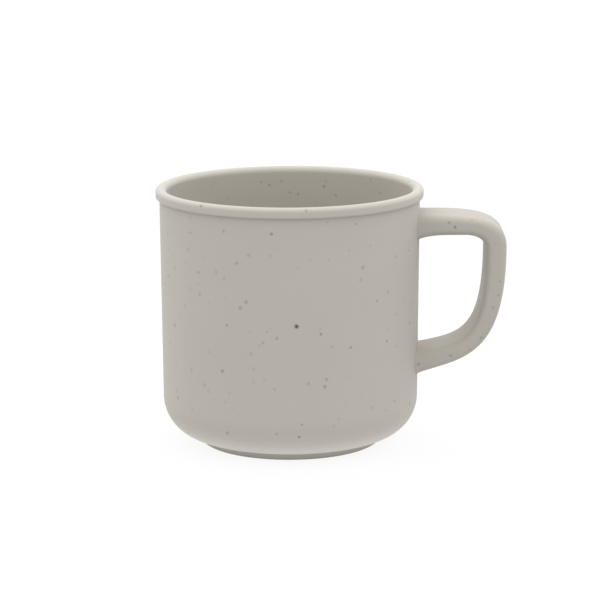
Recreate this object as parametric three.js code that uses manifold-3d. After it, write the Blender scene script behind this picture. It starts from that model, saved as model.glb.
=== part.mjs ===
// Silicone cup with a D-shaped side handle, in millimetres, +Z up.
//
// A straight wall with a little draft carries a rounded lip that stands proud outside. Below,
// the wall turns through a full heel into the floor, and a low ring under the floor is the foot.
// The handle leaves the wall just under the lip, turns down into a slim grip and sweeps back to
// the wall above the heel.
//
// The origin is on the table, under the middle of cup and handle together. The handle points
// along +X and the cup is symmetric about the XZ plane.

import * as THREE from "three";
import { mergeVertices } from "three/addons/utils/BufferGeometryUtils.js";
import loadManifold from "manifold-3d";

// Cup body
const RIM_DIAMETER = 80; // over the lip
const CUP_HEIGHT = 77.6;
const WALL_THICKNESS = 2.2;
const WALL_TAPER = 0.52; // radius lost between the lip and the heel
const HEEL_RISE = 12; // height of the rounded heel outside
const INNER_HEEL_RADIUS = 10;
const FLOOR_THICKNESS = 3;

// Lip
const LIP_HEIGHT = 3.2;
const LIP_OVERHANG = 1.12; // how far the lip stands proud of the wall outside
const LIP_CREST_INSET = 1.9; // mouth to the highest line of the lip
const LIP_OUTER_CROWN = 1.25; // height of the rounded top, outside its highest line
const LIP_INNER_CROWN = 1.9; // and inside it
const LIP_EDGE_ROUND = 0.65; // lower outer edge

// Foot
const FOOT_DIAMETER = 55;
const FOOT_HEIGHT = 2.3;
const FOOT_WIDTH = 5;
const FOOT_EDGE_ROUND = 1.9;
const HEEL_TUCK = 0.5; // the heel's curve starts this far inside the foot's outer edge

// Handle
const HANDLE_DROP = 4.68; // lip's underside to the top of the upper arm
const HANDLE_REACH = 25.67; // wall to the outermost point of the grip
const HANDLE_SPAN = 47.77; // top of the upper arm to the underside of the lower root
const HANDLE_DEPTH = 18; // across the handle
const HANDLE_EDGE_ROUND = 2.35;
const LARGEST_EDGE_SHARE = 0.45; // of the thinnest limb, so that two rounded edges leave a flat
const UPPER_ARM_THICKNESS = 6.01;
const UPPER_ARM_STRAIGHT = 3.68; // level stretch of the top edge, from the wall
const GRIP_THICKNESS = 6.19;
const GRIP_DROP = 9.57; // top of the upper arm to where the grip reaches out most
const LOWER_ROOT_THICKNESS = 6.66;
const LOWER_ARM_SLOPE = THREE.MathUtils.degToRad(18.33); // underside of the lower arm, at the wall
const LOWER_GAP_SLOPE = THREE.MathUtils.degToRad(11.65); // finger side of the lower arm, at the wall
const FINGER_CORNER_RUN = 6;
const FINGER_CORNER_RISE = 4.38;
const ROOT_FLARE_RUN = 7.48; // the upper root thickens towards the wall
const ROOT_FLARE_DROP = 0.99;
const BOND_CLEARANCE = 0.3; // between the handle's roots and the wall

// Fullness of the handle's curves: share of the run before and after each turn
const SHOULDER_FULLNESS = [0.597, 0.88];
const SWEEP_FULLNESS = [0.878, 0.541];
const FINGER_SWEEP_FULLNESS = [0.915, 0.667];
const ROUND_CORNER_FULLNESS = 0.604; // a little fuller than a quarter ellipse

// Finish
const SILICONE_ROUGHNESS = 0.72;
const WALL_COLOUR = 0xb8b3a8;
const LIP_COLOUR = 0xc2bdb2;
const FOOT_COLOUR = 0xb0aba0;

// Facets
const CUP_SIDES = 72;
const HEEL_STEPS = 10; // for each quarter turn of a profile
const EDGE_STEPS = 5;
const HANDLE_CURVE_STEPS = 16;
const HANDLE_EDGE_STEPS = 4;
const THICKNESS_STEPS = 64; // places along a curve where the handle's thickness is taken

const QUARTER_TURN = Math.PI / 2;

const rimRadius = RIM_DIAMETER / 2;
const wallTopRadius = rimRadius - LIP_OVERHANG;
const wallFootRadius = wallTopRadius - WALL_TAPER;
const mouthRadius = wallTopRadius - WALL_THICKNESS;
const innerFootRadius = wallFootRadius - WALL_THICKNESS;
const lipUnderside = CUP_HEIGHT - LIP_HEIGHT;
const footRadius = FOOT_DIAMETER / 2;
const heelStartRadius = footRadius - HEEL_TUCK;
const floorTop = FOOT_HEIGHT + FLOOR_THICKNESS;
const heelTop = Math.max(FOOT_HEIGHT + HEEL_RISE, floorTop + INNER_HEEL_RADIUS);
const handleReachRadius = wallTopRadius + HANDLE_REACH;

const manifold = await loadManifold();
manifold.setup();

function point(radius, height) {
  return new THREE.Vector2(radius, height);
}

// Points of a quarter ellipse about a centre, from one angle to the other
function quarterArc(centre, run, rise, startAngle, endAngle, steps) {
  const clockwise = endAngle < startAngle;
  const curve = new THREE.EllipseCurve(centre.x, centre.y, run, rise, startAngle, endAngle, clockwise);
  return curve.getPoints(steps);
}

// Solid of revolution about Z from a profile of radius and height, listed anticlockwise
function turned(profile) {
  const geometry = new THREE.LatheGeometry(profile, CUP_SIDES);
  geometry.rotateX(QUARTER_TURN);
  return geometry;
}

function closedRing(profile) {
  return turned([...profile, profile[0]]);
}

function solidOf(geometry) {
  const bare = geometry.clone();
  bare.deleteAttribute("normal");
  bare.deleteAttribute("uv");
  const merged = mergeVertices(bare);
  return new manifold.Manifold(
    new manifold.Mesh({
      numProp: 3,
      vertProperties: new Float32Array(merged.attributes.position.array),
      triVerts: new Uint32Array(merged.index.array),
    }),
  );
}

function geometryOf(solid) {
  const mesh = solid.getMesh();
  const geometry = new THREE.BufferGeometry();
  geometry.setAttribute("position", new THREE.BufferAttribute(mesh.vertProperties, mesh.numProp));
  geometry.setIndex(new THREE.BufferAttribute(mesh.triVerts, 1));
  geometry.computeVertexNormals();
  return geometry;
}

// Lip: flush with the wall inside, proud of it outside, with an off-centre rounded crown
function lipGeometry() {
  const crestRadius = mouthRadius + LIP_CREST_INSET;
  const outerCrown = point(crestRadius, CUP_HEIGHT - LIP_OUTER_CROWN);
  const innerCrown = point(crestRadius, CUP_HEIGHT - LIP_INNER_CROWN);
  const edge = point(rimRadius - LIP_EDGE_ROUND, lipUnderside + LIP_EDGE_ROUND);
  const outerRun = rimRadius - crestRadius;
  return closedRing([
    point(mouthRadius, lipUnderside),
    point(wallTopRadius, lipUnderside),
    ...quarterArc(edge, LIP_EDGE_ROUND, LIP_EDGE_ROUND, -QUARTER_TURN, 0, EDGE_STEPS),
    ...quarterArc(outerCrown, outerRun, LIP_OUTER_CROWN, 0, QUARTER_TURN, EDGE_STEPS),
    ...quarterArc(innerCrown, LIP_CREST_INSET, LIP_INNER_CROWN, QUARTER_TURN, Math.PI, EDGE_STEPS).slice(1),
  ]);
}

// Wall: an even shell with a little draft, from the heel up to the lip
function wallGeometry() {
  return closedRing([
    point(innerFootRadius, heelTop),
    point(wallFootRadius, heelTop),
    point(wallTopRadius, lipUnderside),
    point(mouthRadius, lipUnderside),
  ]);
}

// Heel of the outside as profile points, grown by a clearance
function heelArc(clearance) {
  const centre = point(heelStartRadius, FOOT_HEIGHT + HEEL_RISE);
  const run = wallFootRadius - heelStartRadius + clearance;
  const rise = HEEL_RISE + clearance;
  return quarterArc(centre, run, rise, -QUARTER_TURN, 0, HEEL_STEPS);
}

// Base: the floor with the heel that turns up into the wall
function baseGeometry() {
  const innerCentre = point(innerFootRadius - INNER_HEEL_RADIUS, floorTop + INNER_HEEL_RADIUS);
  const outerHeelTop = FOOT_HEIGHT + HEEL_RISE;
  const profile = [point(0, FOOT_HEIGHT), ...heelArc(0)];
  if (heelTop > outerHeelTop) {
    profile.push(point(wallFootRadius, heelTop));
  }
  if (heelTop > innerCentre.y) {
    profile.push(point(innerFootRadius, heelTop));
  }
  profile.push(
    ...quarterArc(innerCentre, INNER_HEEL_RADIUS, INNER_HEEL_RADIUS, 0, -QUARTER_TURN, HEEL_STEPS),
    point(0, floorTop),
  );
  return turned(profile);
}

// Foot: a low ring under the floor, rounded where it meets the table outside
function footGeometry() {
  const innerRadius = footRadius - FOOT_WIDTH;
  const edge = point(footRadius - FOOT_EDGE_ROUND, FOOT_EDGE_ROUND);
  return closedRing([
    point(innerRadius, 0),
    ...quarterArc(edge, FOOT_EDGE_ROUND, FOOT_EDGE_ROUND, -QUARTER_TURN, 0, EDGE_STEPS),
    point(footRadius, FOOT_HEIGHT),
    point(innerRadius, FOOT_HEIGHT),
  ]);
}

// Whole outside of the cup as one solid, grown by a clearance, to cut the handle's roots to the wall
function cupOutside(clearance) {
  return turned([
    point(0, FOOT_HEIGHT - clearance),
    ...heelArc(clearance),
    point(wallFootRadius + clearance, heelTop + clearance),
    point(wallTopRadius + clearance, lipUnderside - clearance),
    point(rimRadius + clearance, lipUnderside - clearance),
    point(rimRadius + clearance, CUP_HEIGHT + clearance),
    point(0, CUP_HEIGHT + clearance),
  ]);
}

// Side view of the handle: X is the distance from the cup's axis, Y the height over the table.
// Both roots run on into the cup, where the wall's outside cuts them off.
function handleOutline() {
  const wall = wallTopRadius;
  const rootEnd = heelStartRadius;
  const rootRun = wall - rootEnd;

  const top = lipUnderside - HANDLE_DROP;
  const shoulderStart = wall + UPPER_ARM_STRAIGHT;
  const shoulderRun = handleReachRadius - shoulderStart;
  const gripHeight = top - GRIP_DROP;
  const lowerRoot = top - HANDLE_SPAN;
  const sweepFall = gripHeight - lowerRoot;
  const sweepRun = SWEEP_FULLNESS[1] * HANDLE_REACH;

  const underArm = top - UPPER_ARM_THICKNESS;
  const fingerSide = handleReachRadius - GRIP_THICKNESS;
  const fingerCornerHeight = underArm - FINGER_CORNER_RISE;
  const fingerCornerStart = fingerSide - FINGER_CORNER_RUN;
  const lowerRootTop = lowerRoot + LOWER_ROOT_THICKNESS;
  const fingerSweepFall = fingerCornerHeight - lowerRootTop;
  const fingerSweepRun = FINGER_SWEEP_FULLNESS[1] * (fingerSide - wall);
  const flareEnd = Math.min(wall + ROOT_FLARE_RUN, fingerCornerStart);
  const flareHeight = underArm - ROOT_FLARE_DROP;

  const outline = new THREE.Shape();
  outline.moveTo(rootEnd, top);
  outline.lineTo(shoulderStart, top);
  outline.bezierCurveTo(
    shoulderStart + SHOULDER_FULLNESS[0] * shoulderRun,
    top,
    handleReachRadius,
    gripHeight + SHOULDER_FULLNESS[1] * GRIP_DROP,
    handleReachRadius,
    gripHeight,
  );
  outline.bezierCurveTo(
    handleReachRadius,
    gripHeight - SWEEP_FULLNESS[0] * sweepFall,
    wall + sweepRun * Math.cos(LOWER_ARM_SLOPE),
    lowerRoot + sweepRun * Math.sin(LOWER_ARM_SLOPE),
    wall,
    lowerRoot,
  );
  outline.lineTo(rootEnd, lowerRoot - rootRun * Math.tan(LOWER_ARM_SLOPE));
  outline.lineTo(rootEnd, lowerRootTop - rootRun * Math.tan(LOWER_GAP_SLOPE));
  outline.lineTo(wall, lowerRootTop);
  outline.bezierCurveTo(
    wall + fingerSweepRun * Math.cos(LOWER_GAP_SLOPE),
    lowerRootTop + fingerSweepRun * Math.sin(LOWER_GAP_SLOPE),
    fingerSide,
    fingerCornerHeight - FINGER_SWEEP_FULLNESS[0] * fingerSweepFall,
    fingerSide,
    fingerCornerHeight,
  );
  outline.bezierCurveTo(
    fingerSide,
    fingerCornerHeight + ROUND_CORNER_FULLNESS * FINGER_CORNER_RISE,
    fingerSide - (1 - ROUND_CORNER_FULLNESS) * FINGER_CORNER_RUN,
    underArm,
    fingerCornerStart,
    underArm,
  );
  outline.lineTo(flareEnd, underArm);
  outline.quadraticCurveTo((wall + flareEnd) / 2, underArm, wall, flareHeight);
  outline.lineTo(rootEnd, flareHeight);
  outline.closePath();
  return outline;
}

// Least thickness of the handle between its outer curves and the curves of its finger side
function thinnestCurve(outline) {
  const [shoulder, sweep, fingerSweep, fingerCorner] = outline.curves.filter(
    (curve) => curve instanceof THREE.CubicBezierCurve,
  );
  const outer = [shoulder, sweep].flatMap((curve) => curve.getPoints(THICKNESS_STEPS));
  const finger = [fingerSweep, fingerCorner].flatMap((curve) => curve.getPoints(THICKNESS_STEPS));
  return Math.min(...finger.flatMap((place) => outer.map((across) => place.distanceTo(across))));
}

// Handle: the side view drawn out to its depth with rounded edges, cut to the wall
function handleGeometry() {
  const outline = handleOutline();
  const thinnest = Math.min(HANDLE_DEPTH, UPPER_ARM_THICKNESS, LOWER_ROOT_THICKNESS, thinnestCurve(outline));
  const edgeRound = Math.min(HANDLE_EDGE_ROUND, LARGEST_EDGE_SHARE * thinnest);
  const flatDepth = HANDLE_DEPTH - 2 * edgeRound;
  const geometry = new THREE.ExtrudeGeometry(outline, {
    depth: flatDepth,
    curveSegments: HANDLE_CURVE_STEPS,
    bevelSegments: HANDLE_EDGE_STEPS,
    bevelSize: edgeRound,
    bevelThickness: edgeRound,
    bevelOffset: -edgeRound,
  });
  geometry.translate(0, 0, -flatDepth / 2);
  geometry.rotateX(QUARTER_TURN);
  return geometryOf(solidOf(geometry).subtract(solidOf(cupOutside(BOND_CLEARANCE))));
}

function siliconePiece(name, geometry, color) {
  const material = new THREE.MeshStandardMaterial({ color, roughness: SILICONE_ROUGHNESS, metalness: 0 });
  const mesh = new THREE.Mesh(geometry, material);
  mesh.name = name;
  return mesh;
}

const cup = new THREE.Group();
cup.position.x = (rimRadius - handleReachRadius) / 2;
cup.add(
  siliconePiece("rim_lip", lipGeometry(), LIP_COLOUR),
  siliconePiece("side_wall", wallGeometry(), WALL_COLOUR),
  siliconePiece("base_dish", baseGeometry(), WALL_COLOUR),
  siliconePiece("foot_ring", footGeometry(), FOOT_COLOUR),
  siliconePiece("handle", handleGeometry(), WALL_COLOUR),
);

const part = new THREE.Group();
part.add(cup);

export default part;
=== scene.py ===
"""Looks of a speckled silicone cup: a proud lip, a straight wall, a full heel, a low foot and a side handle.

Lengths are in metres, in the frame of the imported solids: +Z up, the handle towards +X, the table at z = 0.
"""

import logging
import math
from bisect import bisect_left
from dataclasses import dataclass, field
from enum import Enum
from itertools import pairwise
from typing import ClassVar, Sequence

import bpy
from mathutils import Matrix, Vector


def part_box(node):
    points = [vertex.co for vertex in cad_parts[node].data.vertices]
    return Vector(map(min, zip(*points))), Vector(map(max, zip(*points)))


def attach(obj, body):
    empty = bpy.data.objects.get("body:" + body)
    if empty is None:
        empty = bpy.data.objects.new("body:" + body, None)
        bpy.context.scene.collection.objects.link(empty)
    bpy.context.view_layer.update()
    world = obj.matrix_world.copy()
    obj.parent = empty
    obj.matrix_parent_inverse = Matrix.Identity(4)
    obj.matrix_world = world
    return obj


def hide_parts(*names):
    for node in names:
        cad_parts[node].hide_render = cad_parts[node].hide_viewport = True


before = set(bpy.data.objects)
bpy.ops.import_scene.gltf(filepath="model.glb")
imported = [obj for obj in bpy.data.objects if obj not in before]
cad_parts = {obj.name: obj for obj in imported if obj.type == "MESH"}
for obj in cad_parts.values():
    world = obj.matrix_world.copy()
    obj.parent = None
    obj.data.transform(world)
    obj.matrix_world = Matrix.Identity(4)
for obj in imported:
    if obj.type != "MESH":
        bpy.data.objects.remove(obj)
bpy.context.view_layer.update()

LOG = logging.getLogger("silicone_cup")
MM = 0.001
BODY = "root"
TURN_SIDES = 192
SHARP_ANGLE = math.radians(32)
MERGE_GAP = 0.001 * MM
NOISE_MIDDLE = 0.5
WHITE = (1.0, 1.0, 1.0, 1.0)

Point = tuple[float, float]
Colour = tuple[float, float, float]


def arc(centre: Point, run: float, rise: float, start: float, end: float, steps: int) -> list[Point]:
    """Points along an elliptical arc of a half section.

    Args:
        centre: Radius and height of the arc's centre.
        run: Reach of the arc along the radius.
        rise: Reach of the arc in height.
        start: First angle in degrees, 0 outwards and 90 upwards.
        end: Last angle in degrees.
        steps: Number of straight steps between the two ends.

    Returns:
        The points with both ends, as radius and height.
    """
    angles = [math.radians(start + (end - start) * step / steps) for step in range(steps + 1)]
    return [(centre[0] + run * math.cos(a), centre[1] + rise * math.sin(a)) for a in angles]


def cubic(first: Point, pull_out: Point, pull_in: Point, last: Point, steps: int) -> list[Point]:
    """Points along a cubic curve.

    Args:
        first: Where the curve starts.
        pull_out: Control point that it leaves towards.
        pull_in: Control point that it arrives from.
        last: Where the curve ends.
        steps: Number of straight steps between the two ends.

    Returns:
        The points with both ends.
    """
    points = []
    for step in range(steps + 1):
        t = step / steps
        weights = ((1 - t) ** 3, 3 * t * (1 - t) ** 2, 3 * t * t * (1 - t), t ** 3)
        corners = (first, pull_out, pull_in, last)
        points.append(tuple(sum(w * c[i] for w, c in zip(weights, corners)) for i in range(2)))
    return points


def evenly(line: Sequence[Point], count: int) -> list[Point]:
    """Points spaced evenly along a line of straight steps.

    Args:
        line: The points of the line.
        count: How many points to give back.

    Returns:
        The spaced points, from the line's first point to its last.
    """
    walked = [0.0]
    for before, after in pairwise(line):
        walked.append(walked[-1] + math.dist(before, after))
    spaced = []
    for index in range(count):
        goal = walked[-1] * index / (count - 1)
        leg = min(max(bisect_left(walked, goal), 1), len(line) - 1)
        share = (goal - walked[leg - 1]) / (walked[leg] - walked[leg - 1])
        before, after = line[leg - 1], line[leg]
        spaced.append(tuple(b + (a - b) * share for b, a in zip(before, after)))
    return spaced


def start_mesh(name: str) -> bpy.types.Object:
    """Adds a unit plane under a new name and opens it for editing, with nothing else selected.

    Args:
        name: Name of the new piece.

    Returns:
        The new object, in edit mode with all of its mesh selected.
    """
    bpy.ops.object.select_all(action="DESELECT")
    bpy.ops.mesh.primitive_plane_add(size=1.0, location=(0, 0, 0))
    piece = bpy.context.object
    piece.name = name
    piece.data.name = name
    bpy.ops.object.mode_set(mode="EDIT")
    bpy.ops.mesh.select_mode(type="VERT")
    bpy.ops.mesh.select_all(action="SELECT")
    return piece


def close_mesh() -> None:
    """Merges doubles, turns the faces outwards, leaves edit mode and smooths all but the sharp edges."""
    bpy.ops.mesh.select_all(action="SELECT")
    bpy.ops.mesh.remove_doubles(threshold=MERGE_GAP)
    bpy.ops.mesh.normals_make_consistent(inside=False)
    bpy.ops.object.mode_set(mode="OBJECT")
    bpy.ops.object.shade_smooth_by_angle(angle=SHARP_ANGLE)


def turn(name: str, profile: Sequence[Point], axis_x: float) -> bpy.types.Object:
    """Draws a half section from one vertex, extruded point by point, and spins it round the cup's axis.

    Args:
        name: Name of the new piece.
        profile: Radius and height of each point of the half section.
        axis_x: Where the cup's upright axis crosses the X axis.

    Returns:
        The closed, smoothed piece.
    """
    piece = start_mesh(name)
    bpy.ops.mesh.merge(type="CENTER")
    radius, height = profile[0]
    bpy.ops.transform.translate(value=(axis_x + radius, 0, height))
    for before, after in pairwise(profile):
        step = (after[0] - before[0], 0, after[1] - before[1])
        bpy.ops.mesh.extrude_vertices_move(TRANSFORM_OT_translate={"value": step})
    bpy.ops.mesh.select_all(action="SELECT")
    bpy.ops.mesh.spin(steps=TURN_SIDES, angle=math.tau, center=(axis_x, 0, 0), axis=(0, 0, 1))
    close_mesh()
    return piece


@dataclass(frozen=True)
class CupSizes:
    """Sizes of the whole cup: most are read from the solids, and the rest are what the solids share."""

    axis_x: float
    rim_radius: float
    rim_height: float
    lip_underside: float
    wall_top_radius: float
    wall_foot_radius: float
    heel_top: float
    foot_radius: float
    foot_height: float
    wall_thickness: float = 2.2 * MM
    floor_thickness: float = 3.0 * MM
    heel_tuck: float = 0.5 * MM
    seam_rise: float = 1.5 * MM

    @classmethod
    def from_solids(cls) -> "CupSizes":
        """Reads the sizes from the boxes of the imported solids.

        Returns:
            The sizes.
        """
        lip_low, lip_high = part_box("rim_lip")
        wall_low, wall_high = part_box("side_wall")
        base_low, base_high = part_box("base_dish")
        foot_low, foot_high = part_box("foot_ring")
        return cls(
            axis_x=(foot_low.x + foot_high.x) / 2,
            rim_radius=(lip_high.y - lip_low.y) / 2,
            rim_height=lip_high.z,
            lip_underside=lip_low.z,
            wall_top_radius=(wall_high.y - wall_low.y) / 2,
            wall_foot_radius=(base_high.y - base_low.y) / 2,
            heel_top=wall_low.z,
            foot_radius=(foot_high.y - foot_low.y) / 2,
            foot_height=foot_high.z,
        )

    @property
    def seam_height(self) -> float:
        """Height of the joint between wall and base, on the straight stretch above the heel."""
        return self.heel_top + self.seam_rise

    @property
    def floor_top(self) -> float:
        """Height of the cup's floor inside."""
        return self.foot_height + self.floor_thickness

    def wall_radius(self, height: float) -> float:
        """Outside radius of the drafted wall at a height."""
        share = (height - self.heel_top) / (self.lip_underside - self.heel_top)
        return self.wall_foot_radius + share * (self.wall_top_radius - self.wall_foot_radius)

    def inner_radius(self, height: float) -> float:
        """Inside radius of the drafted wall at a height."""
        return self.wall_radius(height) - self.wall_thickness

    def on_wall(self, azimuth: float, height: float, proud: float = 0.0) -> Vector:
        """Point on the wall's outside, or a little off it.

        Args:
            azimuth: Degrees round the axis, 0 at the front and 90 at the handle.
            height: Height above the table.
            proud: How far off the wall the point is, outwards.

        Returns:
            The point in the frame.
        """
        radius = self.wall_radius(height) + proud
        turned = math.radians(azimuth)
        return Vector((self.axis_x + radius * math.sin(turned), -radius * math.cos(turned), height))


class Graph:
    """A node tree with short ways to add and join its nodes."""

    def __init__(self, tree: bpy.types.NodeTree) -> None:
        """Keeps the tree that the nodes go into."""
        self.tree = tree

    def add(self, kind: str, **inputs: object) -> bpy.types.Node:
        """Adds a node and fills its inputs.

        Args:
            kind: Type name of the node.
            inputs: Value, or socket to join, for each named input, with _ for a space.

        Returns:
            The new node.
        """
        node = self.tree.nodes.new(kind)
        for name, value in inputs.items():
            self.feed(node.inputs[name.replace("_", " ")], value)
        return node

    def feed(self, socket: bpy.types.NodeSocket, value: object) -> None:
        """Joins a socket to an input, or sets the input's plain value.

        Args:
            socket: The input.
            value: The socket to join to it, or its plain value.
        """
        if isinstance(value, bpy.types.NodeSocket):
            self.tree.links.new(value, socket)
        else:
            socket.default_value = value

    def math(self, operation: str, *values: object) -> bpy.types.NodeSocket:
        """Adds a Math node.

        Args:
            operation: Name of the operation.
            values: Numbers or sockets, in order.

        Returns:
            The node's output.
        """
        node = self.tree.nodes.new("ShaderNodeMath")
        node.operation = operation
        for socket, value in zip(node.inputs, values):
            self.feed(socket, value)
        return node.outputs[0]

    def vector(self, operation: str, *values: object, output: str = "Vector") -> bpy.types.NodeSocket:
        """Adds a Vector Math node.

        Args:
            operation: Name of the operation.
            values: Vectors or sockets, in order.
            output: Name of the output wanted.

        Returns:
            That output.
        """
        node = self.tree.nodes.new("ShaderNodeVectorMath")
        node.operation = operation
        for socket, value in zip(node.inputs, values):
            self.feed(socket, value)
        return node.outputs[output]

    def ease(
        self, value: object, low: object, high: object, to_low: object, to_high: object,
    ) -> bpy.types.NodeSocket:
        """Adds a smooth Map Range node.

        Args:
            value: What is mapped.
            low: Start of its range.
            high: End of its range.
            to_low: What the start becomes.
            to_high: What the end becomes.

        Returns:
            The mapped value.
        """
        node = self.tree.nodes.new("ShaderNodeMapRange")
        node.interpolation_type = "SMOOTHSTEP"
        names = ("Value", "From Min", "From Max", "To Min", "To Max")
        for name, given in zip(names, (value, low, high, to_low, to_high)):
            self.feed(node.inputs[name], given)
        return node.outputs["Result"]


class GroupGraph(Graph):
    """A shader node group with named inputs and outputs."""

    def __init__(self, name: str, inputs: dict[str, str], outputs: dict[str, str]) -> None:
        """Opens a new group.

        Args:
            name: Name of the group.
            inputs: Socket type of each named input.
            outputs: Socket type of each named output.
        """
        super().__init__(bpy.data.node_groups.new(name, "ShaderNodeTree"))
        for label, kind in inputs.items():
            self.tree.interface.new_socket(name=label, in_out="INPUT", socket_type=kind)
        for label, kind in outputs.items():
            self.tree.interface.new_socket(name=label, in_out="OUTPUT", socket_type=kind)
        self.given = self.tree.nodes.new("NodeGroupInput").outputs
        self.result = self.tree.nodes.new("NodeGroupOutput").inputs


VECTOR = "NodeSocketVector"
VALUE = "NodeSocketFloat"


class FleckTone(Enum):
    """How strongly a placed fleck covers the silicone."""

    FAINT = 0.3
    CLEAR = 0.5
    DARK = 0.95


WallFleck = tuple[float, float, float, FleckTone]


@dataclass(frozen=True)
class Fleck:
    """One fleck of filler that shows on the surface."""

    place: Vector
    width: float
    tone: FleckTone


@dataclass(frozen=True)
class FleckMap:
    """The flecks that stand out on the cup, each placed one by one."""

    sizes: CupSizes
    lip_inset: float = 0.15 * MM
    lip_drop: float = 0.75 * MM

    def flecks(self) -> list[Fleck]:
        """Lists the flecks of the wall, the heel, the inside, the lip and the handle."""
        cup = self.wall_flecks() + self.heel_flecks() + self.inside_flecks()
        return cup + self.lip_flecks() + self.grip_flecks()

    def set_on_wall(self, listed: Sequence[WallFleck], inset: float = 0.0) -> list[Fleck]:
        """Sets flecks on the wall's outside, or a distance in from it.

        Args:
            listed: Azimuth in degrees, height and width in millimetres, and tone of each fleck.
            inset: How far in from the wall's outside they lie.

        Returns:
            The flecks.
        """
        flecks = []
        for azimuth, z, width, tone in listed:
            place = self.sizes.on_wall(azimuth, z * MM, -inset)
            flecks.append(Fleck(place, width * MM, tone))
        return flecks

    def wall_flecks(self) -> list[Fleck]:
        """Flecks on the wall's outside.

        Returns:
            The flecks.
        """
        listed = [
            (3, 43, 1.45, FleckTone.DARK),
            (13.5, 40.5, 0.95, FleckTone.CLEAR),
            (-7.5, 70, 1.1, FleckTone.CLEAR),
            (-23, 61, 1.1, FleckTone.FAINT),
            (-29, 70, 1, FleckTone.FAINT),
            (-43, 57, 1.1, FleckTone.FAINT),
            (-42.5, 50.5, 1.1, FleckTone.FAINT),
            (-28, 42.5, 1.2, FleckTone.FAINT),
            (-21.5, 48, 1.4, FleckTone.FAINT),
            (-5.5, 39.5, 1.1, FleckTone.FAINT),
            (-11.5, 38, 1, FleckTone.FAINT),
            (29.5, 72, 0.9, FleckTone.FAINT),
            (33, 59, 1.2, FleckTone.FAINT),
            (41, 48.5, 1, FleckTone.FAINT),
            (16, 27, 1.2, FleckTone.FAINT),
            (8, 26, 1.1, FleckTone.FAINT),
        ]
        return self.set_on_wall(listed)

    def heel_flecks(self) -> list[Fleck]:
        """Flecks high on the heel, where it turns in from the wall."""
        lower = self.set_on_wall([(4, 10, 1.1, FleckTone.CLEAR)], 0.7 * MM)
        return lower + self.set_on_wall([(-6, 11, 1, FleckTone.FAINT)], 0.45 * MM)

    def inside_flecks(self) -> list[Fleck]:
        """Flecks on the wall's inside under the lip.

        Returns:
            The flecks.
        """
        listed = [
            (-176, 73, 1, FleckTone.FAINT),
            (-170, 72, 1.1, FleckTone.FAINT),
            (-166, 73, 0.9, FleckTone.FAINT),
            (176, 69, 1, FleckTone.FAINT),
            (180, 69.5, 0.9, FleckTone.FAINT),
            (157, 69, 1.1, FleckTone.FAINT),
        ]
        return self.set_on_wall(listed, self.sizes.wall_thickness)

    def lip_flecks(self) -> list[Fleck]:
        """Flecks on the lip's outer slope, listed by azimuth, width and tone.

        Returns:
            The flecks.
        """
        listed = [(-39.5, 1, FleckTone.CLEAR), (7, 1.1, FleckTone.FAINT)]
        radius = self.sizes.rim_radius - self.lip_inset
        height = self.sizes.rim_height - self.lip_drop
        flecks = []
        for azimuth, width, tone in listed:
            turned = math.radians(azimuth)
            across = self.sizes.axis_x + radius * math.sin(turned)
            place = Vector((across, -radius * math.cos(turned), height))
            flecks.append(Fleck(place, width * MM, tone))
        return flecks

    def grip_flecks(self) -> list[Fleck]:
        """Flecks on the handle, listed by reach from the axis, height, inset from the front, width and tone.

        Returns:
            The flecks.
        """
        listed = [
            (49, 66.5, 0, 1, FleckTone.CLEAR),
            (47, 69.7, 15, 1, FleckTone.FAINT),
            (54, 68.7, 0.6, 1, FleckTone.FAINT),
            (62.4, 50, 0.3, 1, FleckTone.FAINT),
            (62.1, 46, 0.3, 1, FleckTone.FAINT),
            (57.1, 43, 0.4, 1, FleckTone.FAINT),
            (57, 33, 0, 1, FleckTone.FAINT),
            (48, 27.5, 0, 1.1, FleckTone.FAINT),
        ]
        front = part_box("handle")[0].y
        flecks = []
        for reach, z, inset, width, tone in listed:
            place = Vector((self.sizes.axis_x + reach * MM, front + inset * MM, z * MM))
            flecks.append(Fleck(place, width * MM, tone))
        return flecks


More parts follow.
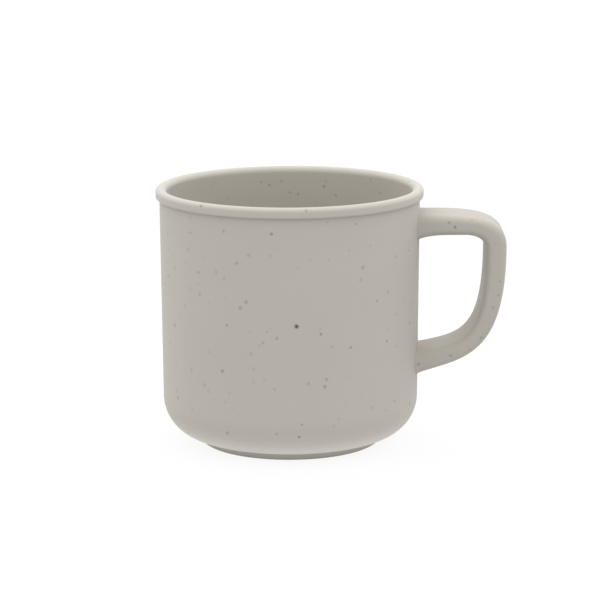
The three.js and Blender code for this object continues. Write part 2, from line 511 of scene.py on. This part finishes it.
@dataclass
class SiliconeGroups:
    """Node groups that every finish of the silicone shares."""

    fleck_map: FleckMap
    ragged_size: float = 0.55 * MM
    ragged_shift: float = 0.5 * MM
    soft_rim: float = 0.35
    rim_spread: float = 1.2
    cloud_size: float = 14 * MM
    gloss_swing: float = 0.22
    palest_tone: float = 0.3
    tone_power: float = 4.0
    smallest_share: float = 0.4
    ragged_detail: float = 1.0
    cloud_detail: float = 3.0
    grain_detail: float = 2.0
    scattered: bpy.types.NodeTree = field(init=False)
    placed: bpy.types.NodeTree = field(init=False)
    skin: bpy.types.NodeTree = field(init=False)

    def __post_init__(self) -> None:
        """Builds each group once."""
        self.scattered = self.scattered_flecks()
        self.placed = self.placed_flecks()
        self.skin = self.moulded_skin()

    def ragged(self, graph: GroupGraph) -> bpy.types.NodeSocket:
        """Shifts the coordinates a little by a fine noise, so that flecks have ragged outlines.

        Args:
            graph: The group's nodes, which are given the coordinates.

        Returns:
            The shifted coordinates.
        """
        place = graph.given["Coordinates"]
        noise = graph.add("ShaderNodeTexNoise", Vector=place, Scale=1 / self.ragged_size)
        graph.feed(noise.inputs["Detail"], self.ragged_detail)
        centred = graph.vector("SUBTRACT", noise.outputs["Color"], (NOISE_MIDDLE,) * 3)
        shift = graph.vector("MULTIPLY", centred, (self.ragged_shift,) * 3)
        return graph.vector("ADD", place, shift)

    def scattered_flecks(self) -> bpy.types.NodeTree:
        """Flecks strewn at random through the silicone, each cell with its own size and tone.

        Returns:
            The group.
        """
        inputs = {
            "Coordinates": VECTOR,
            "Spacing": VALUE,
            "Largest Radius": VALUE,
            "Share": VALUE,
            "Strength": VALUE,
        }
        graph = GroupGraph("scattered_flecks", inputs, {"Mask": VALUE})
        spacing = graph.given["Spacing"]
        per_spacing = graph.math("DIVIDE", 1.0, spacing)
        cells = graph.add("ShaderNodeTexVoronoi", Vector=self.ragged(graph), Scale=per_spacing)
        drawn = graph.add("ShaderNodeSeparateColor", Color=cells.outputs["Color"])
        distance = graph.math("MULTIPLY", cells.outputs["Distance"], spacing)
        size = graph.ease(drawn.outputs["Green"], 0.0, 1.0, self.smallest_share, 1.0)
        radius = graph.math("MULTIPLY", size, graph.given["Largest Radius"])
        core = graph.math("MULTIPLY", radius, self.soft_rim)
        disc = graph.ease(distance, core, radius, 1.0, 0.0)
        present = graph.math("LESS_THAN", drawn.outputs["Red"], graph.given["Share"])
        rare = graph.math("POWER", drawn.outputs["Blue"], self.tone_power)
        tone = graph.math("MULTIPLY_ADD", rare, 1.0 - self.palest_tone, self.palest_tone)
        strength = graph.math("MULTIPLY", tone, graph.given["Strength"])
        shown = graph.math("MULTIPLY", disc, present)
        graph.feed(graph.result["Mask"], graph.math("MULTIPLY", shown, strength))
        return graph.tree

    def placed_flecks(self) -> bpy.types.NodeTree:
        """Flecks that stand out, each round its own point of the surface.

        Returns:
            The group.
        """
        graph = GroupGraph("placed_flecks", {"Coordinates": VECTOR}, {"Mask": VALUE})
        ragged = self.ragged(graph)
        mask = None
        for fleck in self.fleck_map.flecks():
            distance = graph.vector("DISTANCE", ragged, fleck.place, output="Value")
            radius = self.rim_spread * fleck.width / 2
            disc = graph.ease(distance, radius * self.soft_rim, radius, fleck.tone.value, 0.0)
            mask = disc if mask is None else graph.math("MAXIMUM", mask, disc)
        graph.feed(graph.result["Mask"], mask)
        return graph.tree

    def moulded_skin(self) -> bpy.types.NodeTree:
        """Cloudy pigment, a fine grain left by the mould, and patches of a little more or less gloss.

        Returns:
            The group.
        """
        inputs = {
            "Coordinates": VECTOR,
            "Grain Size": VALUE,
            "Grain Height": VALUE,
            "Roughness": VALUE,
            "Cloud": VALUE,
        }
        graph = GroupGraph("moulded_skin", inputs, {"Tint": VALUE, "Height": VALUE, "Roughness": VALUE})
        place = graph.given["Coordinates"]
        clouds = graph.add("ShaderNodeTexNoise", Vector=place, Scale=1 / self.cloud_size)
        graph.feed(clouds.inputs["Detail"], self.cloud_detail)
        swing = graph.math("SUBTRACT", clouds.outputs["Fac"], NOISE_MIDDLE)
        graph.feed(graph.result["Tint"], graph.math("MULTIPLY_ADD", swing, graph.given["Cloud"], 1.0))
        fineness = graph.math("DIVIDE", 1.0, graph.given["Grain Size"])
        grain = graph.add("ShaderNodeTexNoise", Vector=place, Scale=fineness, Detail=self.grain_detail)
        relief = graph.math("MULTIPLY", grain.outputs["Fac"], graph.given["Grain Height"])
        graph.feed(graph.result["Height"], relief)
        gloss = graph.math("MULTIPLY_ADD", swing, self.gloss_swing, graph.given["Roughness"])
        graph.feed(graph.result["Roughness"], gloss)
        return graph.tree


@dataclass(frozen=True)
class SiliconeFinish:
    """One finish of the speckled silicone, as the mould left it; the lip's colour holds a painted highlight
    and the grip's a painted shade.
    """

    name: str
    colour: Colour = (0.477, 0.450, 0.402)
    fleck_colour: Colour = (0.085, 0.072, 0.058)
    roughness: float = 0.6
    cloud: float = 0.05
    grain_size: float = 0.45 * MM
    grain_height: float = 0.012 * MM
    fleck_spacing: float = 3.6 * MM
    fleck_radius: float = 0.9 * MM
    fleck_share: float = 0.8
    fleck_strength: float = 0.48
    dust_spacing: float = 2.3 * MM
    dust_radius: float = 0.3 * MM
    dust_share: float = 0.7
    dust_strength: float = 0.24
    grain_bump: float = 0.6
    bump_distance: float = 1.0
    sheen: float = 0.06
    sheen_roughness: float = 0.5
    # Share by which the colour is painted lighter up the lip's crest: a painted highlight.
    painted_crest_highlight: float = 0.0
    crest_reach: tuple[float, float] = (75.9 * MM, 77.3 * MM)
    refraction: float = 1.41
    gloss: float = 0.5

    def material(self, groups: SiliconeGroups) -> bpy.types.Material:
        """Makes the finish as a material.

        Args:
            groups: The node groups that the finishes share.

        Returns:
            The new material.
        """
        made = bpy.data.materials.new(self.name)
        made.use_nodes = True
        graph = Graph(made.node_tree)
        place = graph.add("ShaderNodeTexCoord").outputs["Object"]
        skin = self.group(
            graph,
            groups.skin,
            Coordinates=place,
            Grain_Size=self.grain_size,
            Grain_Height=self.grain_height,
            Roughness=self.roughness,
            Cloud=self.cloud,
        )
        # The silicone's colour carries any painted highlight and painted shade of the finish.
        silicone = self.pigment(graph, place, skin.outputs["Tint"])
        bump = graph.add(
            "ShaderNodeBump",
            Height=skin.outputs["Height"],
            Strength=self.grain_bump,
            Distance=self.bump_distance,
        )
        looks = {
            "Base Color": self.speckled(graph, silicone, self.strewn(graph, groups, place)),
            "Roughness": skin.outputs["Roughness"],
            "Normal": bump.outputs["Normal"],
            "IOR": self.refraction,
            "Specular IOR Level": self.gloss,
            "Sheen Weight": self.sheen,
            "Sheen Roughness": self.sheen_roughness,
        }
        shader = graph.tree.nodes["Principled BSDF"]
        for name, value in looks.items():
            graph.feed(shader.inputs[name], value)
        return made

    def pigment(
        self, graph: Graph, place: bpy.types.NodeSocket, tint: bpy.types.NodeSocket,
    ) -> bpy.types.NodeSocket:
        """Colours the silicone, lighter towards the crest where the finish has a painted highlight.

        Args:
            graph: The material's nodes.
            place: Object coordinates.
            tint: How light the cloudy pigment is.

        Returns:
            The silicone's colour, with the painted highlight where there is one.
        """
        # Painted highlight: the colour grows lighter up the lip's crest, standing in for the light that
        # falls on it.
        if self.painted_crest_highlight:
            height = graph.add("ShaderNodeSeparateXYZ", Vector=place).outputs["Z"]
            painted_highlight = graph.ease(height, *self.crest_reach, 1.0, 1.0 + self.painted_crest_highlight)
            tint = graph.math("MULTIPLY", tint, painted_highlight)
        tinted = graph.vector("SCALE", self.colour)
        graph.feed(tinted.node.inputs["Scale"], tint)
        return tinted

    def speckled(
        self, graph: Graph, silicone: bpy.types.NodeSocket, flecks: bpy.types.NodeSocket,
    ) -> bpy.types.NodeSocket:
        """Lays the fleck colour over the silicone.

        Args:
            graph: The material's nodes.
            silicone: Colour of the silicone, with the painted highlight of the lip and the painted shade of
                the grip where the finish has them.
            flecks: How far the fleck colour covers it.

        Returns:
            The colour of the surface.
        """
        mixed = graph.tree.nodes.new("ShaderNodeMix")
        mixed.data_type = "RGBA"
        under, over = (socket for socket in mixed.inputs if socket.type == "RGBA")
        graph.feed(mixed.inputs[0], flecks)
        graph.feed(under, silicone)
        graph.feed(over, (*self.fleck_colour, 1.0))
        return next(socket for socket in mixed.outputs if socket.type == "RGBA")

    def strewn(
        self, graph: Graph, groups: SiliconeGroups, place: bpy.types.NodeSocket,
    ) -> bpy.types.NodeSocket:
        """Joins the coarse flecks, the fine ones and the placed ones.

        Args:
            graph: The material's nodes.
            groups: The node groups that the finishes share.
            place: Object coordinates.

        Returns:
            How far the fleck colour covers the silicone.
        """
        coarse = self.group(
            graph,
            groups.scattered,
            Coordinates=place,
            Spacing=self.fleck_spacing,
            Largest_Radius=self.fleck_radius,
            Share=self.fleck_share,
            Strength=self.fleck_strength,
        )
        fine = self.group(
            graph,
            groups.scattered,
            Coordinates=place,
            Spacing=self.dust_spacing,
            Largest_Radius=self.dust_radius,
            Share=self.dust_share,
            Strength=self.dust_strength,
        )
        chosen = self.group(graph, groups.placed, Coordinates=place)
        strewn = graph.math("MAXIMUM", coarse.outputs["Mask"], fine.outputs["Mask"])
        return graph.math("MAXIMUM", strewn, chosen.outputs["Mask"])

    @staticmethod
    def group(graph: Graph, tree: bpy.types.NodeTree, **inputs: object) -> bpy.types.Node:
        """Places a node group in the material and fills its inputs.

        Args:
            graph: The material's nodes.
            tree: The group.
            inputs: Value, or socket to join, for each named input, with _ for a space.

        Returns:
            The group's node.
        """
        node = graph.tree.nodes.new("ShaderNodeGroup")
        node.node_tree = tree
        for name, value in inputs.items():
            graph.feed(node.inputs[name.replace("_", " ")], value)
        return node


BODY_FINISH = SiliconeFinish("speckled_silicone")
# The grip's colour is a shade darker than the body's: painted shade, for the shade that falls on the handle.
GRIP_FINISH_AND_PAINTED_SHADE = SiliconeFinish(
    "speckled_silicone_grip_painted_shade", colour=(0.460, 0.435, 0.389), roughness=0.5, gloss=0.1,
)
FOOT_FINISH = SiliconeFinish("speckled_silicone_foot", roughness=0.66)
# The lip's colour is painted lighter up its crest: a painted highlight.
LIP_FINISH_AND_PAINTED_HIGHLIGHT = SiliconeFinish("speckled_silicone_lip_painted_highlight", roughness=0.5, painted_crest_highlight=0.11)


@dataclass
class MouldedPiece:
    """One region of the moulding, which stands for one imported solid."""

    name: ClassVar[str]
    node: ClassVar[str]
    sizes: CupSizes

    def build(self) -> bpy.types.Object:
        """Models the piece and gives it back."""
        raise NotImplementedError

    def dress(self, piece: bpy.types.Object, material: bpy.types.Material) -> None:
        """Gives the piece its material, its body and the solid that it stands for.

        Args:
            piece: The modelled piece.
            material: Its finish.
        """
        piece.data.materials.clear()
        piece.data.materials.append(material)
        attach(piece, BODY)
        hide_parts(self.node)
        LOG.info("%s: %d faces, in place of %s", piece.name, len(piece.data.polygons), self.node)


@dataclass
class Lip(MouldedPiece):
    """The rounded lip that stands proud of the wall."""

    name: ClassVar[str] = "drinking_lip"
    node: ClassVar[str] = "rim_lip"
    crest_inset: float = 1.9 * MM
    outer_crown: float = 1.25 * MM
    inner_crown: float = 1.9 * MM
    edge_round: float = 0.65 * MM
    crown_steps: int = 14
    edge_steps: int = 8

    def build(self) -> bpy.types.Object:
        """Turns the lip's rounded section.

        Returns:
            The finished mesh, at the origin.
        """
        cup = self.sizes
        mouth = cup.inner_radius(cup.lip_underside)
        crest = mouth + self.crest_inset
        outer: Point = (crest, cup.rim_height - self.outer_crown)
        inner: Point = (crest, cup.rim_height - self.inner_crown)
        edge: Point = (cup.rim_radius - self.edge_round, cup.lip_underside + self.edge_round)
        profile = [(mouth, cup.lip_underside), (cup.wall_top_radius, cup.lip_underside)]
        profile += arc(edge, self.edge_round, self.edge_round, -90, 0, self.edge_steps)
        profile += arc(outer, cup.rim_radius - crest, self.outer_crown, 0, 90, self.crown_steps)
        profile += arc(inner, self.crest_inset, self.inner_crown, 90, 180, self.crown_steps)[1:]
        profile.append(profile[0])
        return turn(self.name, profile, cup.axis_x)


@dataclass
class SideWall(MouldedPiece):
    """The straight wall with a little draft."""

    name: ClassVar[str] = "straight_wall"
    node: ClassVar[str] = "side_wall"
    courses: int = 12

    def build(self) -> bpy.types.Object:
        """Turns the wall's section, in courses from the base up to the lip.

        Returns:
            The finished mesh, at the origin.
        """
        cup = self.sizes
        rise = cup.lip_underside - cup.seam_height
        heights = [cup.seam_height + rise * course / self.courses for course in range(self.courses + 1)]
        profile = [(cup.wall_radius(z), z) for z in heights]
        profile += [(cup.inner_radius(z), z) for z in reversed(heights)]
        profile.append(profile[0])
        return turn(self.name, profile, cup.axis_x)


@dataclass
class Base(MouldedPiece):
    """The floor with its full rounded heel, up to the wall."""

    name: ClassVar[str] = "rounded_base"
    node: ClassVar[str] = "base_dish"
    heel_rise: float = 12 * MM
    inner_heel: float = 10 * MM
    gate_radius: float = 2.2 * MM
    gate_depth: float = 0.35 * MM
    heel_steps: int = 36
    gate_steps: int = 6

    def build(self) -> bpy.types.Object:
        """Turns the base's section: the gate dimple, the underside, the heel, and the floor inside.

        Returns:
            The finished mesh, at the origin.
        """
        cup = self.sizes
        heel: Point = (cup.foot_radius - cup.heel_tuck, cup.foot_height + self.heel_rise)
        heel_run = cup.wall_radius(heel[1]) - heel[0]
        inner_foot = cup.inner_radius(cup.heel_top)
        hollow: Point = (inner_foot - self.inner_heel, cup.floor_top + self.inner_heel)
        profile = arc((0, cup.foot_height), self.gate_radius, self.gate_depth, 90, 0, self.gate_steps)
        profile += arc(heel, heel_run, self.heel_rise, -90, 0, self.heel_steps)
        profile.append((cup.wall_radius(cup.seam_height), cup.seam_height))
        profile.append((cup.inner_radius(cup.seam_height), cup.seam_height))
        profile += arc(hollow, self.inner_heel, self.inner_heel, 0, -90, self.heel_steps)
        profile.append((0.0, cup.floor_top))
        return turn(self.name, profile, cup.axis_x)


@dataclass
class Foot(MouldedPiece):
    """The low ring that the cup stands on."""

    name: ClassVar[str] = "standing_foot"
    node: ClassVar[str] = "foot_ring"
    width: float = 5 * MM
    outer_round: float = 1.9 * MM
    inner_round: float = 0.8 * MM
    round_steps: int = 10

    def build(self) -> bpy.types.Object:
        """Turns the foot's section, rounded where it meets the table.

        Returns:
            The finished mesh, at the origin.
        """
        cup = self.sizes
        inner = cup.foot_radius - self.width
        outer_edge: Point = (cup.foot_radius - self.outer_round, self.outer_round)
        inner_edge: Point = (inner + self.inner_round, self.inner_round)
        profile = arc(inner_edge, self.inner_round, self.inner_round, 180, 270, self.round_steps)
        profile += arc(outer_edge, self.outer_round, self.outer_round, -90, 0, self.round_steps)
        profile += [(cup.foot_radius, cup.foot_height), (inner, cup.foot_height)]
        profile.append(profile[0])
        return turn(self.name, profile, cup.axis_x)


@dataclass(frozen=True)
class Rung:
    """One cross section of the handle, from its finger side to its outer side."""

    inner: Point
    outer: Point
    flare: float = 0.0

    @property
    def centre(self) -> Vector:
        """Middle of the section."""
        return Vector(((self.inner[0] + self.outer[0]) / 2, 0, (self.inner[1] + self.outer[1]) / 2))

    @property
    def thickness(self) -> float:
        """Thickness across the section, with its flare."""
        return math.dist(self.inner, self.outer) + 2 * self.flare

    @property
    def lean(self) -> float:
        """Turn of the section about +Y, 0 where its outer side is up and a quarter where it faces +X."""
        return math.atan2(self.outer[0] - self.inner[0], self.outer[1] - self.inner[1])


@dataclass
class Handle(MouldedPiece):
    """The D-shaped handle, from its root under the lip round to its root above the heel."""

    name: ClassVar[str] = "side_handle"
    node: ClassVar[str] = "handle"
    drop: float = 4.68 * MM
    reach: float = 25.67 * MM
    span: float = 47.77 * MM
    edge_round: float = 2.7 * MM
    upper_thickness: float = 6.01 * MM
    upper_straight: float = 3.68 * MM
    grip_thickness: float = 6.19 * MM
    grip_drop: float = 9.57 * MM
    lower_thickness: float = 6.66 * MM
    lower_slope: float = math.radians(18.33)
    gap_slope: float = math.radians(11.65)
    corner_run: float = 6 * MM
    corner_rise: float = 4.38 * MM
    flare_run: float = 7.48 * MM
    flare_drop: float = 0.99 * MM
    shoulder_pull: tuple[float, float] = (0.597, 0.88)
    sweep_pull: tuple[float, float] = (0.878, 0.541)
    finger_pull: tuple[float, float] = (0.915, 0.667)
    round_pull: float = 0.604
    root_fillet: float = 0.3 * MM
    root_reach: float = 1.3 * MM
    root_cover: float = 0.4 * MM
    curve_steps: int = 60
    edge_steps: int = 8
    root_rungs: int = 9
    arm_rungs: int = 10
    corner_rungs: int = 18
    sweep_rungs: int = 44

    def build(self) -> bpy.types.Object:
        """Draws a rounded section and extrudes it rung by rung round the handle.

        Returns:
            The finished mesh, at the origin.
        """
        depth = self.depth
        rungs = self.rungs()
        piece = start_mesh(self.name)
        bpy.ops.transform.resize(value=(rungs[0].thickness, depth + 2 * rungs[0].flare, 1))
        bpy.ops.mesh.bevel(affect="VERTICES", offset=self.edge_round, segments=self.edge_steps)
        bpy.ops.mesh.select_all(action="SELECT")
        self.lean_by(math.pi / 2, Vector((0, 0, 0)))
        bpy.ops.transform.translate(value=rungs[0].centre)
        bpy.ops.mesh.select_mode(type="FACE")
        bpy.ops.mesh.select_all(action="SELECT")
        for before, after in pairwise(rungs):
            step = after.centre - before.centre
            bpy.ops.mesh.extrude_region_move(TRANSFORM_OT_translate={"value": step})
            self.lean_by(after.lean - before.lean, after.centre)
            across = after.thickness / before.thickness
            deep = (depth + 2 * after.flare) / (depth + 2 * before.flare)
            bpy.ops.transform.resize(value=(across, deep, across), center_override=after.centre)
        close_mesh()
        return piece

    @property
    def depth(self) -> float:
        """Depth across the handle, as its solid has it."""
        low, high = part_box(self.node)
        return high.y - low.y

    @property
    def root_sink(self) -> float:
        """How far the roots run into the wall, so that their edges reach it as well as their middle.

        Returns:
            The length, inwards from the wall's outside.
        """
        half = self.depth / 2 + self.root_fillet
        wall = self.sizes.wall_foot_radius
        return wall - math.sqrt(wall * wall - half * half) + self.root_cover

    @staticmethod
    def lean_by(angle: float, centre: Vector) -> None:
        """Turns what is selected about +Y; with no window the operator turns the other way."""
        bpy.ops.transform.rotate(value=-angle, orient_axis="Y", center_override=centre)

    def rungs(self) -> list[Rung]:
        """Pairs the finger side with the outer side, from the upper root round to the lower root.

        Returns:
            The rungs in order.
        """
        cup = self.sizes
        wall = cup.axis_x + cup.wall_top_radius
        outer = self.outer_side(wall)
        flare, arm, corner, sweep = self.finger_side(wall)
        corner_start, corner_end = corner[0][0], corner[-1][1]
        turn_in = next(i for i, p in enumerate(outer) if p[0] >= corner_start)
        turn_out = next(i for i, p in enumerate(outer) if i > turn_in and p[1] <= corner_end)
        first_arm = wall + self.root_reach
        arm_run = corner_start - first_arm
        arm_x = [first_arm + arm_run * i / self.arm_rungs for i in range(self.arm_rungs)]
        root_start = wall - self.root_sink
        root_run = self.root_reach + self.root_sink
        root_x = [root_start + root_run * i / self.root_rungs for i in range(self.root_rungs)]
        upper_outer, upper_inner = outer[: turn_in + 1], flare + arm
        lower_outer, lower_inner = outer[turn_out:][::-1], sweep[::-1]
        rungs = [self.upright(x, upper_inner, upper_outer, wall) for x in root_x + arm_x]
        shoulder = evenly(outer[turn_in: turn_out + 1], self.corner_rungs)
        rungs += [Rung(i, o) for i, o in zip(evenly(corner, self.corner_rungs), shoulder)]
        free_inner = [p for p in sweep if p[0] > first_arm]
        free_outer = [p for p in outer[turn_out:] if p[0] > first_arm]
        spaced = zip(evenly(free_inner, self.sweep_rungs), evenly(free_outer, self.sweep_rungs))
        rungs += [Rung(i, o) for i, o in list(spaced)[1:]]
        rungs += [self.upright(x, lower_inner, lower_outer, wall) for x in root_x[::-1]]
        return rungs

    def upright(self, x: float, inner: Sequence[Point], outer: Sequence[Point], wall: float) -> Rung:
        """An upright rung at a place along an arm, flared where it meets the wall.

        Args:
            x: Where the rung stands.
            inner: Points of the finger side, with x rising.
            outer: Points of the outer side, with x rising.
            wall: Where the wall's outside is.

        Returns:
            The rung.
        """
        share = min(max((wall + self.root_reach - x) / (self.root_reach + self.root_sink), 0.0), 1.0)
        low, high = self.height_at(x, inner), self.height_at(x, outer)
        return Rung((x, low), (x, high), self.root_fillet * share * share)

    @staticmethod
    def height_at(x: float, line: Sequence[Point]) -> float:
        """Height of a line at x, carried straight on past its ends.

        Args:
            x: Where the height is wanted.
            line: Points of the line, with x rising.

        Returns:
            The height.
        """
        leg = min(max(bisect_left([p[0] for p in line], x), 1), len(line) - 1)
        before, after = line[leg - 1], line[leg]
        return before[1] + (after[1] - before[1]) * (x - before[0]) / (after[0] - before[0])

    def outer_side(self, wall: float) -> list[Point]:
        """Outer outline: along the top, over the shoulder, down the grip and in to the lower root.

        Args:
            wall: Where the wall's outside is.

        Returns:
            The outline's points.
        """
        top = self.sizes.lip_underside - self.drop
        far = wall + self.reach
        grip = top - self.grip_drop
        low = top - self.span
        start = wall + self.upper_straight
        run = far - start
        fall = grip - low
        leave, arrive = self.shoulder_pull
        shoulder = cubic(
            (start, top),
            (start + leave * run, top),
            (far, grip + arrive * self.grip_drop),
            (far, grip),
            self.curve_steps,
        )
        leave, arrive = self.sweep_pull
        pull = arrive * self.reach
        sweep = cubic(
            (far, grip),
            (far, grip - leave * fall),
            (wall + pull * math.cos(self.lower_slope), low + pull * math.sin(self.lower_slope)),
            (wall, low),
            self.curve_steps,
        )
        return [(wall, top)] + shoulder + sweep[1:]

    def finger_side(self, wall: float) -> list[list[Point]]:
        """Finger side: root flare, under the arm, the corner, and down to the lower root.

        Args:
            wall: Where the wall's outside is.

        Returns:
            The points of the four stretches.
        """
        top = self.sizes.lip_underside - self.drop
        under = top - self.upper_thickness
        side = wall + self.reach - self.grip_thickness
        root = top - self.span + self.lower_thickness
        bend = under - self.corner_rise
        flare = [
            (wall + self.flare_run * t, under - self.flare_drop * (1 - t) ** 2)
            for t in (i / self.arm_rungs for i in range(self.arm_rungs + 1))
        ]
        arm = [(side - self.corner_run, under)]
        slack = 1 - self.round_pull
        corner = cubic(
            arm[0],
            (side - slack * self.corner_run, under),
            (side, under - slack * self.corner_rise),
            (side, bend),
            self.curve_steps,
        )
        leave, arrive = self.finger_pull
        pull = arrive * (side - wall)
        sweep = cubic(
            (side, bend),
            (side, bend - leave * (bend - root)),
            (wall + pull * math.cos(self.gap_slope), root + pull * math.sin(self.gap_slope)),
            (wall, root),
            self.curve_steps,
        )
        return [flare, arm, corner, sweep]


@dataclass
class Studio:
    """The pale floor, the soft light and the camera."""

    sizes: CupSizes
    floor_side: float = 8.0
    paper_colour: Colour = (0.85, 0.85, 0.85)
    paper_white: float = 0.9
    # The floor's glow towards the cup is painted bounce light, brighter in a ring round the cup, with a
    # painted shadow ring where the foot stands.
    painted_table_glow: float = 0.76
    painted_near_glow: float = 1.35
    near_reach: tuple[float, float] = (38 * MM, 43 * MM)
    painted_foot_shadow: float = 0.26
    foot_reach: tuple[float, float] = (29.5 * MM, 32.5 * MM)
    horizon_light: float = 0.69
    overhead_light: float = 1.61
    side_light: float = 0.15
    right_light: float = 0.036
    backdrop_light: float = 0.9
    camera_shift: float = 3.0 * MM
    camera_back: float = 799.2 * MM
    camera_height: float = 208.7 * MM
    camera_pitch: float = 0.2047
    camera_roll: float = 0.0035
    lens: float = 162.67
    sensor: float = 36.0

    def lay_floor(self) -> None:
        """Lays a table top that looks white and keeps the cup's shadow, and that glows towards the cup with
        painted bounce light: brighter in a ring round the cup, with a painted shadow where the foot stands.
        """
        bpy.ops.object.select_all(action="DESELECT")
        bpy.ops.mesh.primitive_plane_add(size=self.floor_side, location=(0, 0, 0))
        floor = bpy.context.object
        floor.name = "studio_floor"
        made = bpy.data.materials.new("floor_paper_and_painted_glow")
        made.use_nodes = True
        graph = Graph(made.node_tree)
        graph.tree.nodes.clear()
        place = graph.add("ShaderNodeTexCoord").outputs["Object"]
        away = graph.vector("DISTANCE", place, (self.sizes.axis_x, 0, 0), output="Value")
        # Painted bounce light and painted shadow: the glow is brighter near the cup and dimmer where the
        # foot stands.
        painted_glow = graph.ease(away, *self.near_reach, self.painted_near_glow, self.painted_table_glow)
        painted_shadow = graph.ease(away, *self.foot_reach, self.painted_foot_shadow, 1.0)
        light = graph.add("ShaderNodeEmission", Strength=graph.math("MULTIPLY", painted_glow, painted_shadow))
        paper = graph.add("ShaderNodeBsdfDiffuse", Color=(*self.paper_colour, 1.0))
        white = graph.add("ShaderNodeEmission", Strength=1.0)
        looks = graph.add("ShaderNodeMixShader", Fac=self.paper_white)
        graph.feed(looks.inputs[1], paper.outputs[0])
        graph.feed(looks.inputs[2], white.outputs[0])
        mixed = graph.add("ShaderNodeMixShader", Fac=self.seen(graph))
        graph.feed(mixed.inputs[1], light.outputs[0])
        graph.feed(mixed.inputs[2], looks.outputs[0])
        graph.add("ShaderNodeOutputMaterial", Surface=mixed.outputs[0])
        floor.data.materials.append(made)

    @staticmethod
    def seen(graph: Graph) -> bpy.types.NodeSocket:
        """Tells what is looked at from what only lights the cup.

        Args:
            graph: The nodes of the floor or the room.

        Returns:
            1 for rays from the camera, in mirrors and through glass, and 0 for rays of light.
        """
        path = graph.add("ShaderNodeLightPath")
        through = graph.math("MAXIMUM", path.outputs["Is Glossy Ray"], path.outputs["Is Transmission Ray"])
        return graph.math("MAXIMUM", path.outputs["Is Camera Ray"], through)

    def fill_room(self) -> None:
        """Gives the room an even soft light, and a white look where the camera sees it."""
        world = bpy.data.worlds.new("studio_room")
        bpy.context.scene.world = world
        world.use_nodes = True
        graph = Graph(world.node_tree)
        graph.tree.nodes.clear()
        way = graph.add("ShaderNodeSeparateXYZ", Vector=graph.add("ShaderNodeTexCoord").outputs["Generated"])
        across = way.outputs["X"]
        high = graph.ease(way.outputs["Z"], 0.0, 1.0, self.horizon_light, self.overhead_light)
        behind = graph.ease(way.outputs["Y"], 0.0, 1.0, 0.0, self.backdrop_light)
        sides = graph.math("MULTIPLY_ADD", graph.math("MULTIPLY", across, across), self.side_light, high)
        rightward = graph.math("MULTIPLY_ADD", across, self.right_light, sides)
        light = graph.math("ADD", rightward, behind)
        strength = graph.tree.nodes.new("ShaderNodeMix")
        graph.feed(strength.inputs["Factor"], self.seen(graph))
        graph.feed(strength.inputs["A"], light)
        graph.feed(strength.inputs["B"], 1.0)
        room = graph.add("ShaderNodeBackground", Color=WHITE, Strength=strength.outputs["Result"])
        graph.add("ShaderNodeOutputWorld", Surface=room.outputs[0])

    def place_camera(self) -> None:
        """Places the camera in front of the cup, a little above it and looking down."""
        data = bpy.data.cameras.new("front_camera")
        data.lens = self.lens
        data.sensor_width = self.sensor
        camera = bpy.data.objects.new("front_camera", data)
        bpy.context.scene.collection.objects.link(camera)
        ahead = Vector((0, math.cos(self.camera_pitch), -math.sin(self.camera_pitch)))
        upright = Vector((0, math.sin(self.camera_pitch), math.cos(self.camera_pitch)))
        level = Vector((1, 0, 0))
        right = level * math.cos(self.camera_roll) - upright * math.sin(self.camera_roll)
        up = level * math.sin(self.camera_roll) + upright * math.cos(self.camera_roll)
        turned = Matrix((right, up, -ahead)).transposed().to_4x4()
        place = Vector((self.sizes.axis_x + self.camera_shift, -self.camera_back, self.camera_height))
        camera.matrix_world = Matrix.Translation(place) @ turned
        bpy.context.scene.camera = camera

    def set_up(self) -> None:
        """Sets up the floor, the light, the camera and the plain view of colours."""
        self.lay_floor()
        self.fill_room()
        self.place_camera()
        bpy.context.scene.view_settings.view_transform = "Standard"


def main() -> None:
    """Builds the pieces in order, dresses them and sets up the studio."""
    logging.basicConfig(level=logging.INFO, format="%(name)s: %(message)s")
    sizes = CupSizes.from_solids()
    groups = SiliconeGroups(FleckMap(sizes))
    body = BODY_FINISH.material(groups)
    grip = GRIP_FINISH_AND_PAINTED_SHADE.material(groups)
    foot = FOOT_FINISH.material(groups)
    lip = LIP_FINISH_AND_PAINTED_HIGHLIGHT.material(groups)
    finishes = {Lip: lip, SideWall: body, Base: body, Foot: foot, Handle: grip}
    for kind, material in finishes.items():
        part = kind(sizes)
        part.dress(part.build(), material)
    Studio(sizes).set_up()


if __name__ == "__main__":
    main()
